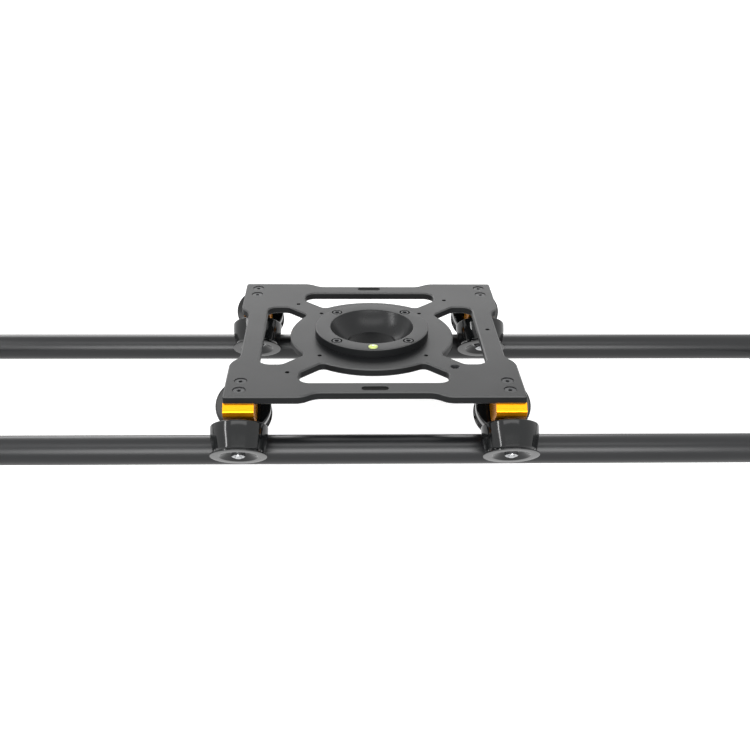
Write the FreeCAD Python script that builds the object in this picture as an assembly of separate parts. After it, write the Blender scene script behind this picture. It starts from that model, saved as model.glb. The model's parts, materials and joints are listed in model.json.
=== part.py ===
"""Camera slider: a wheeled carriage with a 100 mm bowl, rolling on two round rails.

The frame has +Z up, +X along the rails and -Y towards the front. Z = 0 is the floor
under the rubber feet, and X = Y = 0 is the middle of the carriage in its rest place,
half way along the rails. All lengths are millimetres.
"""
import FreeCAD, Part
import os
import math

V = FreeCAD.Vector
UP = V(0, 0, 1)
ALONG = V(1, 0, 0)

# ---- rails and the two end stands ----
rail_length = 1200.0
rail_gauge = 273.0            # between the two rail axes
rail_radius = 16.7            # 33.4 mm pipe
rail_wall = 2.8
saddle_length = 38.0          # along the rail
saddle_ear = 6.5              # metal beside each clamp screw
saddle_floor = 6.0            # metal under the rail
rail_overhang = 4.0           # rail end past the saddle
clamp_split = 1.5             # open gap between saddle and clamp cap
clamp_arch = 6.3              # metal over the rail
clamp_ear_drop = 4.2          # the ears lie this far below the rail's top
clamp_screw_inset = 7.8       # from the rail's side to the screw's axis
cross_bar_thickness = 12.0
cross_bar_overhang = 4.0      # past the saddles at each end
cross_bar_chamfer = 1.5
stand_thread_radius = 4.0     # 3/8 inch thread, at its core
foot_height = 16.0
foot_radius = 18.0
foot_top_radius = 14.0
foot_edge = 1.5
foot_recess_clearance = 1.5   # round its screw's head
foot_recess_depth = 8.0
end_cap_flange = 3.0
end_cap_plug = 12.0
buffer_length = 30.0          # rubber sleeve that stops the carriage
buffer_radius = 22.0

# ---- carriage plate ----
plate_overhang = 27.0         # from the rail axis to the plate's edge
plate_thickness = 9.5
plate_corner = 3.0
plate_edge = 1.5              # chamfer of the plate's outer edge and its windows
notch_depth = 10.5            # shallow waist in each side
notch_half = 57.5             # flat part of that waist
notch_ramp = 28.5
side_rim = 33.5               # from the plate's edge to its windows
corner_pad = 80.0             # from the plate's edge to the ends of the windows beside it
spoke_width = 30.0
hub_radius = 98.0
window_outer_fillet = 13.0
fillet_share = 0.55           # most of a window's end that this fillet may take
window_end_fillet = 10.0
window_hub_fillet = 7.0
accessory_square = 61.6       # four tapped holes round the bowl, from the centre
accessory_radius = 2.5        # M6 thread, at its core
small_hole_radius = 2.6
corner_hole_inset = 71.5      # small hole on one spoke's middle line, from both edges
side_hole_insets = (66.5, 58.5)   # the holes beside two other spokes
rim_hole_inset = 21.5         # the hole in the right-hand rim
rim_hole_offset = 12.0
bush_insets = (71.5, 72.5)
bush_radius = 6.0
bush_bore = 4.2               # 3/8 inch thread, at its core
badge_length = 30.0
badge_width = 9.0
badge_thickness = 0.8
badge_pocket = 1.0
badge_inset = 9.0             # from the edge of the waist to the badge's middle
badge_clearance = 0.1

# ---- bowl ----
bowl_mouth = 50.0             # 100 mm bowl
bowl_sphere_rise = 25.0       # the seat's sphere centre above the mouth
bowl_seat_width = 19.5        # from the mouth inwards to the bore
flange_width = 18.0           # from the mouth outwards
flange_thickness = 10.0
flange_edge = 0.8
bowl_depth = 40.0             # from the flange's top to the open bottom
bowl_wall = 4.5
spigot_step = 2.0             # the spigot is this much smaller than the mouth
spigot_clearance = 0.1
flange_screw_inset = 8.6      # from the flange's edge to the screws and the level
level_radius = 5.5
level_depth = 7.0
level_lip = 0.8               # housing above the flange
level_wall = 0.9
level_dome = 1.2              # glass above the housing

# ---- trucks ----
truck_inset = 16.5            # from the plate's left or right edge to the truck's middle
truck_length = 33.5
truck_half_width = 31.0
truck_side = 6.0              # height of each upright side, above the lower facet
truck_shoulder = 6.9          # height of each upper facet
truck_edge = 0.8
facet_setback = 19.6          # rail contact plane to the truck's lower facet, along the axle
truck_screw_offset = 10.75

# ---- wheels, measured along the axle from the rail contact, outwards ----
wheel_radius = 31.0
wheel_gap = 0.3               # tread to rail
wheel_inboard = 13.1
wheel_outboard = 20.3
tread_flat_end = 1.0
waist_depth = 3.7
waist_inset = 5.8             # from the outer face to the waist
lip_width = 1.4               # from the outer face to the end of the flare
lip_edge = 1.0
wheel_inner_edge = 2.2
face_width = 10.5             # flat ring round the dish
dish_depth = 6.0
dish_floor_width = 1.5        # round the outboard bearing
wheel_web_bore = 9.0
bearing_recess = 0.7          # inboard bearing below the wheel's inner face

# ---- 608 bearings and M8 axles ----
bearing_radius = 11.0
bearing_width = 7.0
bearing_shaft = 4.0
inner_ring_radius = 5.5
outer_ring_bore = 9.5
seal_thickness = 0.5
seal_clearance = 0.3
ball_clearance = 0.05
balls_per_bearing = 7
seat_clearance = 0.02
shaft_clearance = 0.05
axle_thread_depth = 10.0
nut_flats = 13.0
nut_height = 5.3
stud_proud = 1.3              # stud end past its nut
stud_end_chamfer = 0.8
axle_washer_thickness = 1.0
standoff_radius = 7.0

# ---- M6 screws ----
m6_radius = 3.0
m6_hole_clearance = 0.3
m6_head_radius = 5.0
m6_head_height = 6.0
m6_socket_flats = 5.0
m6_socket_depth = 3.0
counterbore_clearance = 1.3
countersunk_head_radius = 6.45
countersunk_socket_flats = 4.0
countersunk_socket_depth = 2.4
countersink_clearance = 0.9
thread_clearance = 0.05
thread_engagement = 8.0
blind_hole_spare = 1.0        # a blind hole is this much deeper than its screw

# ---- places that follow from the sizes above ----
root_half = math.sqrt(0.5)
cross_bar_top = foot_height + cross_bar_thickness
rail_z = cross_bar_top + saddle_floor + rail_radius
rail_y = rail_gauge / 2
rail_end = rail_length / 2
clamp_ear = rail_radius - clamp_ear_drop
clamp_screw_offset = rail_radius + clamp_screw_inset
saddle_half_width = clamp_screw_offset + saddle_ear
saddle_outer = rail_end - rail_overhang
saddle_inner = saddle_outer - saddle_length
saddle_x = (saddle_inner + saddle_outer) / 2
buffer_inner = saddle_inner - buffer_length
contact_distance = (rail_radius + wheel_gap + wheel_radius) * root_half
vee_height = facet_setback / root_half
facet_middle = contact_distance - facet_setback * root_half
truck_bottom_half = 2 * facet_middle - truck_half_width
truck_top_half = truck_half_width - truck_shoulder
truck_bottom = vee_height + truck_bottom_half
truck_side_low = vee_height + truck_half_width
truck_side_high = truck_side_low + truck_side
truck_top = truck_side_high + truck_shoulder
plate_half = rail_y + plate_overhang
window_outer = plate_half - side_rim
window_half = plate_half - corner_pad
badge_place = plate_half - notch_depth - badge_inset
truck_x = plate_half - truck_inset
plate_bottom = rail_z + truck_top
plate_top = plate_bottom + plate_thickness
flange_top = plate_top + flange_thickness
flange_radius = bowl_mouth + flange_width
bowl_sphere = math.hypot(bowl_mouth, bowl_sphere_rise)
bowl_bore = bowl_mouth - bowl_seat_width
spigot_radius = bowl_mouth - spigot_step
bowl_screw_circle = flange_radius - flange_screw_inset
level_place = bowl_screw_circle
waist_radius = wheel_radius - waist_depth
waist_place = wheel_outboard - waist_inset
lip_place = wheel_outboard - lip_width
dish_radius = wheel_radius - face_width
counterbore_radius = m6_head_radius + counterbore_clearance
countersink_radius = countersunk_head_radius + countersink_clearance
m6_hole = m6_radius + m6_hole_clearance
foot_recess_radius = m6_head_radius + foot_recess_clearance
ball_pitch = (inner_ring_radius + outer_ring_bore) / 2
ball_radius = (outer_ring_bore - inner_ring_radius) / 2 - ball_clearance
outboard_bearing = wheel_outboard - dish_depth - bearing_width
inboard_bearing = -wheel_inboard + bearing_recess
stand_sides = {"left": -1, "right": 1}
rail_sides = {"front": -1, "back": 1}
wheel_sides = {"outer": 1, "inner": -1}


def save(name, solids):
    """Write one node: a single solid, or a group of separate ones."""
    shape = solids if isinstance(solids, Part.Shape) else Part.makeCompound(solids)
    if not shape.isValid():
        raise ValueError(name + " is not a valid shape")
    shape.exportStep("parts/" + name + ".step")
    print(name, len(shape.Solids), "solid(s)", round(shape.Volume, 1), "mm3")


def rod(radius, length, base, axis=UP):
    return Part.makeCylinder(radius, length, base, axis)


def tube(outer, inner, length, base, axis=UP):
    return rod(outer, length, base, axis).cut(rod(inner, length, base, axis))


def block(low, high):
    size = high - low
    return Part.makeBox(size.x, size.y, size.z, low)


def hexagon(flats, height, base):
    """Upright six-sided prism, measured across its flats."""
    corner = flats / math.sqrt(3)
    turns = [math.radians(60 * k) for k in range(7)]
    ring = [base + V(corner * math.cos(t), corner * math.sin(t), 0) for t in turns]
    return Part.Face(Part.makePolygon(ring)).extrude(V(0, 0, height))


def line(start, end):
    return Part.LineSegment(start, end).toShape()


def arc(start, middle, end):
    return Part.Arc(start, middle, end).toShape()


def revolved(edges):
    """Turn a closed outline in the XZ plane once round Z."""
    return Part.Face(Part.Wire(edges)).revolve(V(0, 0, 0), UP, 360)


def revolved_points(points):
    """The same for straight edges, given as (radius, height) pairs."""
    corners = [V(r, 0, z) for r, z in points]
    return revolved([line(a, b) for a, b in zip(corners, corners[1:] + corners[:1])])


def chamfer_level_edges(solid, heights, size):
    """Break every edge that lies flat at one of the given heights."""
    flat = [e for e in solid.Edges
            if e.BoundBox.ZLength < 1e-6 and any(abs(e.BoundBox.ZMin - z) < 1e-6 for z in heights)]
    return solid.makeChamfer(size, flat)


def socket_screw(length):
    """M6 socket cap screw, head seat at Z = 0, pointing down."""
    screw = rod(m6_head_radius, m6_head_height, V(0, 0, 0))
    screw = screw.fuse(rod(m6_radius, length, V(0, 0, -length)))
    socket = hexagon(m6_socket_flats, m6_socket_depth, V(0, 0, m6_head_height - m6_socket_depth))
    return screw.cut(socket).removeSplitter()


def countersunk_screw(length):
    """M6 countersunk screw, head top at Z = 0, pointing down."""
    cone = countersunk_head_radius - m6_radius
    screw = revolved_points([(0, 0), (countersunk_head_radius, 0), (m6_radius, -cone),
                             (m6_radius, -length), (0, -length)])
    return screw.cut(hexagon(countersunk_socket_flats, countersunk_socket_depth,
                             V(0, 0, -countersunk_socket_depth)))


def moved(shape, place):
    copy = shape.copy()
    copy.translate(place)
    return copy


# ---- track ----

def make_rails():
    for side, sign in rail_sides.items():
        base = V(-rail_end, sign * rail_y, rail_z)
        save(side + "_rail", tube(rail_radius, rail_radius - rail_wall, rail_length, base, ALONG))


def make_end_caps():
    plug_radius = rail_radius - rail_wall - thread_clearance
    caps = []
    for x_sign in stand_sides.values():
        outward = ALONG * x_sign
        for y_sign in rail_sides.values():
            end = V(x_sign * rail_end, y_sign * rail_y, rail_z)
            flange = rod(rail_radius, end_cap_flange, end, outward)
            plug = rod(plug_radius, end_cap_plug, end - outward * end_cap_plug, outward)
            caps.append(flange.fuse(plug).removeSplitter())
    save("rail_end_caps", caps)


def make_saddles():
    """Each rail end lies in a saddle, under a clamp cap held by two long screws."""
    seat_top = rail_z - clamp_split / 2
    cap_bottom = rail_z + clamp_split / 2
    cap_screw = socket_screw(rail_z + clamp_ear - cross_bar_top + thread_engagement)
    screws = []
    for end, x_sign in stand_sides.items():
        for side, y_sign in rail_sides.items():
            x, y = x_sign * saddle_x, y_sign * rail_y
            low_x, high_x = x - saddle_length / 2, x + saddle_length / 2
            rail = rod(rail_radius, saddle_length, V(low_x, y, rail_z), ALONG)
            saddle = block(V(low_x, y - saddle_half_width, cross_bar_top),
                           V(high_x, y + saddle_half_width, seat_top))
            cap = block(V(low_x, y - saddle_half_width, cap_bottom),
                        V(high_x, y + saddle_half_width, rail_z + clamp_ear))
            arch = rod(rail_radius + clamp_arch, saddle_length, V(low_x, y, rail_z), ALONG)
            above = block(V(low_x, y - saddle_half_width, cap_bottom),
                          V(high_x, y + saddle_half_width, rail_z + 2 * rail_radius))
            cap = cap.fuse(arch.common(above)).removeSplitter()
            holes = []
            spot_faces = []
            for screw_sign in (-1, 1):
                seat = V(x, y + screw_sign * clamp_screw_offset, rail_z + clamp_ear)
                screws.append(moved(cap_screw, seat))
                depth = seat.z - cross_bar_top
                holes.append(rod(m6_hole, depth, seat - UP * depth))
                spot_faces.append(rod(counterbore_radius, rail_radius, seat))
            save(end + "_" + side + "_saddle", saddle.cut([rail] + holes))
            save(end + "_" + side + "_clamp_cap", cap.cut([rail] + holes + spot_faces))
    save("clamp_screws", screws)


def make_cross_bars():
    half_width = rail_y + saddle_half_width + cross_bar_overhang
    for end, x_sign in stand_sides.items():
        x = x_sign * saddle_x
        bar = block(V(x - saddle_length / 2, -half_width, foot_height),
                    V(x + saddle_length / 2, half_width, cross_bar_top))
        bar = bar.makeChamfer(cross_bar_chamfer, [e for e in bar.Edges
                                                 if e.BoundBox.ZLength > cross_bar_thickness / 2])
        tools = [rod(stand_thread_radius, cross_bar_thickness, V(x, 0, foot_height))]
        thread = m6_radius + thread_clearance
        depth = thread_engagement + blind_hole_spare
        for y_sign in rail_sides.values():
            tools.append(rod(thread, depth, V(x, y_sign * rail_y, foot_height)))
            for screw_sign in (-1, 1):
                y = y_sign * rail_y + screw_sign * clamp_screw_offset
                tools.append(rod(thread, depth, V(x, y, cross_bar_top - depth)))
        save(end + "_cross_bar", bar.cut(tools))


def make_feet():
    """Rubber feet, each held by a socket screw inside its recess."""
    foot = revolved_points([(m6_hole, foot_recess_depth), (foot_recess_radius, foot_recess_depth),
                            (foot_recess_radius, 0), (foot_radius - foot_edge, 0),
                            (foot_radius, foot_edge), (foot_top_radius, foot_height),
                            (m6_hole, foot_height)])
    grip = foot_height - foot_recess_depth
    screw = socket_screw(grip + thread_engagement)
    screw.rotate(V(0, 0, 0), ALONG, 180)
    screws = []
    for end, x_sign in stand_sides.items():
        for side, y_sign in rail_sides.items():
            place = V(x_sign * saddle_x, y_sign * rail_y, 0)
            save(end + "_" + side + "_foot", moved(foot, place))
            screws.append(moved(screw, place + UP * foot_recess_depth))
    save("foot_screws", screws)


def make_buffers():
    """Rubber sleeves on the rails, butted against the saddles."""
    bore = rail_radius + thread_clearance
    for end, x_sign in stand_sides.items():
        for side, y_sign in rail_sides.items():
            start = V(x_sign * buffer_inner, y_sign * rail_y, rail_z)
            sleeve = tube(buffer_radius, bore, buffer_length, start, ALONG * x_sign)
            save(end + "_" + side + "_buffer", sleeve)


# ---- carriage plate ----

def plate_side():
    """One side of the plate's outline and the corner after it, for the side at +Y."""
    ramp_radius = (notch_ramp ** 2 + notch_depth ** 2) / (4 * notch_depth)
    turn = math.asin(notch_ramp / 2 / ramp_radius)
    corner = plate_half - plate_corner
    diagonal = corner + plate_corner * root_half

    def outer_bend(angle, sign):
        x = notch_half + notch_ramp - ramp_radius * math.sin(angle)
        return V(sign * x, plate_half - ramp_radius * (1 - math.cos(angle)), 0)

    def inner_bend(angle, sign):
        x = notch_half + ramp_radius * math.sin(angle)
        return V(sign * x, plate_half - notch_depth + ramp_radius * (1 - math.cos(angle)), 0)

    edges = [line(V(-corner, plate_half, 0), outer_bend(0, -1)),
             arc(outer_bend(0, -1), outer_bend(turn / 2, -1), outer_bend(turn, -1)),
             arc(inner_bend(turn, -1), inner_bend(turn / 2, -1), inner_bend(0, -1)),
             line(inner_bend(0, -1), inner_bend(0, 1)),
             arc(inner_bend(0, 1), inner_bend(turn / 2, 1), inner_bend(turn, 1)),
             arc(outer_bend(turn, 1), outer_bend(turn / 2, 1), outer_bend(0, 1)),
             line(outer_bend(0, 1), V(corner, plate_half, 0)),
             arc(V(corner, plate_half, 0), V(diagonal, diagonal, 0), V(plate_half, corner, 0))]
    return edges


def quarter_turns(shape):
    turned = []
    for quarter in range(4):
        copy = shape.copy()
        copy.rotate(V(0, 0, 0), UP, -90 * quarter)
        turned.append(copy)
    return turned


def plate_window(bottom, height):
    """The cutter for the window at +Y: a bar's edge, two spokes' sides and the hub."""
    offset = spoke_width / 2 / root_half
    knee = window_half + offset
    reach = (math.sqrt(2 * hub_radius ** 2 - offset ** 2) - offset) / 2
    hub_corner = V(reach, reach + offset, 0)
    points = [V(-reach, reach + offset, 0), V(-window_half, knee, 0), V(-window_half, window_outer, 0),
              V(window_half, window_outer, 0), V(window_half, knee, 0), hub_corner]
    edges = [line(a, b) for a, b in zip(points, points[1:])]
    edges.append(arc(hub_corner, V(0, hub_radius, 0), points[0]))
    cutter = Part.Face(Part.Wire(edges)).extrude(V(0, 0, height))
    outer_fillet = min(window_outer_fillet, (window_outer - knee) * fillet_share)
    for radius, y in ((outer_fillet, window_outer), (window_end_fillet, knee),
                      (window_hub_fillet, hub_corner.y)):
        uprights = [e for e in cutter.Edges
                    if e.BoundBox.ZLength > height / 2 and abs(e.CenterOfMass.y - y) < 1e-3]
        cutter = cutter.makeFillet(radius, uprights)
    return moved(cutter, V(0, 0, bottom))


def pill(length, width, height, base):
    """A flat bar with round ends, along X."""
    middle = (length - width) / 2
    bar = block(base - V(middle, width / 2, 0), base + V(middle, width / 2, height))
    ends = [rod(width / 2, height, base + V(sign * middle, 0, 0)) for sign in (-1, 1)]
    return bar.fuse(ends).removeSplitter()


def small_hole_places():
    """Four tapped holes that lie where cables and brackets need them, not in a pattern."""
    spoke_middle = plate_half - corner_hole_inset
    across, along = (plate_half - inset for inset in side_hole_insets)
    return [V(-spoke_middle, spoke_middle, plate_bottom), V(across, along, plate_bottom),
            V(-across, -along, plate_bottom),
            V(plate_half - rim_hole_inset, rim_hole_offset, plate_bottom)]


def bush_base():
    return V(plate_half - bush_insets[0], bush_insets[1] - plate_half, plate_bottom)


def corner_screw_places():
    return [V(x_sign * truck_x, y_sign * rail_y + screw_sign * truck_screw_offset, plate_top)
            for x_sign in (-1, 1) for y_sign in (-1, 1) for screw_sign in (-1, 1)]


def bowl_screw_places(height):
    offset = bowl_screw_circle * root_half
    return [V(a * offset, b * offset, height) for a in (-1, 1) for b in (-1, 1)]


def make_plate():
    side = Part.makeCompound(plate_side())
    outline = [edge for quarter in quarter_turns(side) for edge in quarter.Edges]
    sorted_outline = Part.__sortEdges__(outline)
    plate = Part.Face(Part.Wire(sorted_outline)).extrude(V(0, 0, plate_thickness))
    plate.translate(V(0, 0, plate_bottom))
    plate = plate.cut(quarter_turns(plate_window(plate_bottom, plate_thickness)))
    plate = chamfer_level_edges(plate, (plate_bottom, plate_top), plate_edge)
    tools = [rod(spigot_radius + spigot_clearance, plate_thickness, V(0, 0, plate_bottom))]
    for a in (-1, 1):
        for b in (-1, 1):
            place = V(a * accessory_square, b * accessory_square, plate_bottom)
            tools.append(rod(accessory_radius, plate_thickness, place))
    for place in small_hole_places():
        tools.append(rod(small_hole_radius, plate_thickness, place))
    tools.append(rod(bush_radius, plate_thickness, bush_base()))
    for place in bowl_screw_places(plate_bottom):
        tools.append(rod(m6_radius + thread_clearance, plate_thickness, place))
    sink = countersink_radius - m6_hole
    for place in corner_screw_places():
        tools.append(Part.makeCone(m6_hole, countersink_radius, sink, place - UP * sink))
        tools.append(rod(m6_hole, plate_thickness, place - UP * plate_thickness))
    for sign in (-1, 1):
        base = V(0, sign * badge_place, plate_top - badge_pocket)
        tools.append(pill(badge_length, badge_width, badge_pocket, base))
    save("carriage_plate", plate.cut(tools))


def make_badges():
    for side, sign in rail_sides.items():
        base = V(0, sign * badge_place, plate_top - badge_pocket)
        slack = 2 * badge_clearance
        save(side + "_badge", pill(badge_length - slack, badge_width - slack, badge_thickness, base))


def make_bush():
    save("accessory_bush", tube(bush_radius, bush_bore, plate_thickness, bush_base()))


def make_corner_screws():
    seat = countersink_radius - countersunk_head_radius - thread_clearance
    screw = countersunk_screw(plate_thickness - seat + thread_engagement)
    save("truck_screws", [moved(screw, place - UP * seat) for place in corner_screw_places()])


# ---- bowl ----

def make_bowl():
    """Flange, locating spigot and a cup with a spherical seat above an open bore."""
    sphere_z = flange_top + math.sqrt(bowl_sphere ** 2 - bowl_mouth ** 2)
    seat_bottom = sphere_z - math.sqrt(bowl_sphere ** 2 - bowl_bore ** 2)
    bowl_bottom = flange_top - bowl_depth
    middle_z = (flange_top + seat_bottom) / 2
    middle_r = math.sqrt(bowl_sphere ** 2 - (sphere_z - middle_z) ** 2)
    skirt = bowl_bore + bowl_wall
    skirt_top = plate_bottom - (spigot_radius - skirt)
    outline = [(bowl_bore, bowl_bottom), (skirt, bowl_bottom), (skirt, skirt_top),
               (spigot_radius, plate_bottom), (spigot_radius, plate_top), (flange_radius, plate_top),
               (flange_radius, flange_top - flange_edge), (flange_radius - flange_edge, flange_top),
               (bowl_mouth, flange_top)]
    corners = [V(r, 0, z) for r, z in outline]
    edges = [line(a, b) for a, b in zip(corners, corners[1:])]
    seat_end = V(bowl_bore, 0, seat_bottom)
    edges.append(arc(corners[-1], V(middle_r, 0, middle_z), seat_end))
    edges.append(line(seat_end, corners[0]))
    bowl = revolved(edges)
    tools = [rod(level_radius + thread_clearance, level_depth,
                 V(0, -level_place, flange_top - level_depth))]
    grip = flange_thickness - m6_head_height
    for place in bowl_screw_places(plate_top):
        tools.append(rod(m6_hole, flange_thickness, place))
        tools.append(rod(counterbore_radius, m6_head_height, place + UP * grip))
    save("bowl", bowl.cut(tools))
    screw = socket_screw(grip + plate_thickness)
    save("bowl_screws", [moved(screw, place + UP * grip) for place in bowl_screw_places(plate_top)])


def make_level():
    """Round bubble level: a cup pressed into the flange and its domed vial."""
    base = V(0, -level_place, flange_top - level_depth)
    height = level_depth + level_lip
    vial_radius = level_radius - level_wall
    floor = UP * level_wall
    housing = rod(level_radius, height, base).cut(rod(vial_radius, height, base + floor))
    save("level_housing", housing)
    body = vial_radius - thread_clearance
    body_height = height - level_wall
    dome_radius = (body ** 2 + level_dome ** 2) / (2 * level_dome)
    dome = Part.makeSphere(dome_radius, base + floor + UP * (body_height + level_dome - dome_radius))
    column = rod(body, body_height + level_dome, base + floor)
    lower = rod(body, body_height, base + floor)
    save("level_vial", lower.fuse(column.common(dome)).removeSplitter())


# ---- trucks, axles and wheels ----

def axle_place(x_sign, y_sign, side_sign):
    """Puts a wheel built along +Z, with the rail contact plane at Z = 0, on its axle."""
    outward = side_sign * y_sign
    axis = V(0, outward * root_half, -root_half)
    foot = V(x_sign * truck_x, y_sign * rail_y + outward * contact_distance, rail_z + contact_distance)
    return FreeCAD.Placement(foot, FreeCAD.Rotation(UP, axis))


def every_axle():
    """Name and placement of each of the eight axles."""
    axles = []
    for side, y_sign in rail_sides.items():
        for end, x_sign in stand_sides.items():
            for wheel, side_sign in wheel_sides.items():
                axles.append((side + "_" + end + "_" + wheel, axle_place(x_sign, y_sign, side_sign)))
    return axles


def on_every_axle(shape):
    copies = []
    for _, placement in every_axle():
        copy = shape.copy()
        copy.Placement = placement.multiply(copy.Placement)
        copies.append(copy)
    return copies


def make_trucks():
    """Eight-sided anodised blocks under the plate's corners; the lower facets face the axles."""
    right_side = [(truck_bottom_half, truck_bottom), (truck_half_width, truck_side_low),
                  (truck_half_width, truck_side_high), (truck_top_half, truck_top)]
    profile = [(-y, z) for y, z in reversed(right_side)] + right_side
    thread = m6_radius + thread_clearance
    depth = thread_engagement + blind_hole_spare
    bore = rod(bearing_shaft + shaft_clearance, axle_thread_depth,
               V(0, 0, -facet_setback - axle_thread_depth))
    for side, y_sign in rail_sides.items():
        for end, x_sign in stand_sides.items():
            low_x = x_sign * truck_x - truck_length / 2
            corners = [V(low_x, y_sign * rail_y + y, rail_z + z) for y, z in profile]
            face = Part.Face(Part.makePolygon(corners + corners[:1]))
            truck = face.extrude(ALONG * truck_length)
            long_edges = [e for e in truck.Edges if e.BoundBox.XLength > truck_length / 2]
            truck = truck.makeChamfer(truck_edge, [e for e in long_edges
                                                   if e.BoundBox.ZMax < plate_bottom - truck_edge])
            tools = []
            for screw_sign in (-1, 1):
                y = y_sign * rail_y + screw_sign * truck_screw_offset
                tools.append(rod(thread, depth, V(x_sign * truck_x, y, plate_bottom - depth)))
            for side_sign in wheel_sides.values():
                hole = bore.copy()
                hole.Placement = axle_place(x_sign, y_sign, side_sign)
                tools.append(hole)
            save(side + "_" + end + "_truck", truck.cut(tools))


def axle_nut(seat):
    """M8 nut whose corners are turned off at 30 degrees on both faces."""
    base = V(0, 0, seat)
    flat = nut_flats / 2
    wide = flat + nut_height / math.tan(math.radians(30))
    nut = hexagon(nut_flats, nut_height, base)
    nut = nut.common(Part.makeCone(flat, wide, nut_height, base))
    nut = nut.common(Part.makeCone(wide, flat, nut_height, base))
    return nut.cut(rod(bearing_shaft + shaft_clearance, nut_height, base))


def make_axles():
    """Studs screwed into the trucks, their nuts, sleeves and washers, and the bearings' insides."""
    washer_seat = outboard_bearing + bearing_width
    nut_seat = washer_seat + axle_washer_thickness
    stud_root = -facet_setback - axle_thread_depth + blind_hole_spare
    stud_tip = nut_seat + nut_height + stud_proud
    bore = bearing_shaft + shaft_clearance
    stud = revolved_points([(0, stud_root), (bearing_shaft, stud_root),
                            (bearing_shaft, stud_tip - stud_end_chamfer),
                            (bearing_shaft - stud_end_chamfer, stud_tip), (0, stud_tip)])
    save("axle_studs", on_every_axle(stud))
    save("axle_nuts", on_every_axle(axle_nut(nut_seat)))

    sleeve_end = inboard_bearing - axle_washer_thickness
    sleeve = tube(standoff_radius, bore, sleeve_end + facet_setback, V(0, 0, -facet_setback))
    save("axle_standoffs", on_every_axle(sleeve))
    washers = []
    for seat in (sleeve_end, washer_seat):
        washer = tube(inner_ring_radius, bore, axle_washer_thickness, V(0, 0, seat))
        washers += on_every_axle(washer)
    save("axle_washers", washers)

    core_start = inboard_bearing + bearing_width
    core = tube(inner_ring_radius, bore, outboard_bearing - core_start, V(0, 0, core_start))
    save("bearing_core_spacers", on_every_axle(core))
    rings = []
    balls = []
    for start in (inboard_bearing, outboard_bearing):
        rings += on_every_axle(tube(inner_ring_radius, bore, bearing_width, V(0, 0, start)))
        for k in range(balls_per_bearing):
            turn = 2 * math.pi * k / balls_per_bearing
            centre = V(ball_pitch * math.cos(turn), ball_pitch * math.sin(turn),
                       start + bearing_width / 2)
            balls += on_every_axle(Part.makeSphere(ball_radius, centre))
    save("bearing_inner_rings", rings)
    save("bearing_balls", balls)


def tyre_shape():
    """Cast polyurethane wheel: straight tread, tapered waist, flared lip, dished outer face."""
    seat = bearing_radius + seat_clearance
    inner_face = -wheel_inboard
    rounding = wheel_inner_edge * (1 - root_half)
    lip_round = lip_edge * (1 - root_half)
    inner_seat_end = inboard_bearing + bearing_width
    outer_seat_end = outboard_bearing
    seat_mouth = outboard_bearing + bearing_width
    dish_floor = bearing_radius + dish_floor_width
    flare_length = lip_place - waist_place
    flare_radius = (flare_length ** 2 + waist_depth ** 2) / (2 * waist_depth)
    half_turn = math.asin(flare_length / flare_radius) / 2
    flare = V(waist_radius + flare_radius * (1 - math.cos(half_turn)), 0,
              waist_place + flare_radius * math.sin(half_turn))
    return revolved([
        line(V(seat, 0, inner_face), V(wheel_radius - wheel_inner_edge, 0, inner_face)),
        arc(V(wheel_radius - wheel_inner_edge, 0, inner_face),
            V(wheel_radius - rounding, 0, inner_face + rounding),
            V(wheel_radius, 0, inner_face + wheel_inner_edge)),
        line(V(wheel_radius, 0, inner_face + wheel_inner_edge), V(wheel_radius, 0, tread_flat_end)),
        line(V(wheel_radius, 0, tread_flat_end), V(waist_radius, 0, waist_place)),
        arc(V(waist_radius, 0, waist_place), flare, V(wheel_radius, 0, lip_place)),
        line(V(wheel_radius, 0, lip_place), V(wheel_radius, 0, wheel_outboard - lip_edge)),
        arc(V(wheel_radius, 0, wheel_outboard - lip_edge),
            V(wheel_radius - lip_round, 0, wheel_outboard - lip_round),
            V(wheel_radius - lip_edge, 0, wheel_outboard)),
        line(V(wheel_radius - lip_edge, 0, wheel_outboard), V(dish_radius, 0, wheel_outboard)),
        line(V(dish_radius, 0, wheel_outboard), V(dish_floor, 0, seat_mouth)),
        line(V(dish_floor, 0, seat_mouth), V(seat, 0, seat_mouth)),
        line(V(seat, 0, seat_mouth), V(seat, 0, outer_seat_end)),
        line(V(seat, 0, outer_seat_end), V(wheel_web_bore, 0, outer_seat_end)),
        line(V(wheel_web_bore, 0, outer_seat_end), V(wheel_web_bore, 0, inner_seat_end)),
        line(V(wheel_web_bore, 0, inner_seat_end), V(seat, 0, inner_seat_end)),
        line(V(seat, 0, inner_seat_end), V(seat, 0, inner_face))])


def outer_ring(start):
    """A bearing's outer ring with its two seals, which clear the inner ring."""
    end = start + bearing_width
    seal_bore = inner_ring_radius + seal_clearance
    return revolved_points([(seal_bore, start), (bearing_radius, start), (bearing_radius, end),
                            (seal_bore, end), (seal_bore, end - seal_thickness),
                            (outer_ring_bore, end - seal_thickness),
                            (outer_ring_bore, start + seal_thickness),
                            (seal_bore, start + seal_thickness)])


def make_wheels():
    tyre = tyre_shape()
    rings = [outer_ring(inboard_bearing), outer_ring(outboard_bearing)]
    for name, placement in every_axle():
        pieces = [shape.copy() for shape in [tyre] + rings]
        for piece in pieces:
            piece.Placement = placement.multiply(piece.Placement)
        save(name + "_tyre", pieces[0])
        save(name + "_bearings", pieces[1:])


def print_places():
    """The values that the joints and mounts need."""
    stop = math.sqrt(wheel_radius ** 2 - (contact_distance / root_half - buffer_radius) ** 2)
    print("rail_z", rail_z, "plate_top", plate_top, "flange_top", flange_top)
    print("wheel foot offset", contact_distance)
    print("free travel to the buffers", buffer_inner - stop - truck_x)


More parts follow.
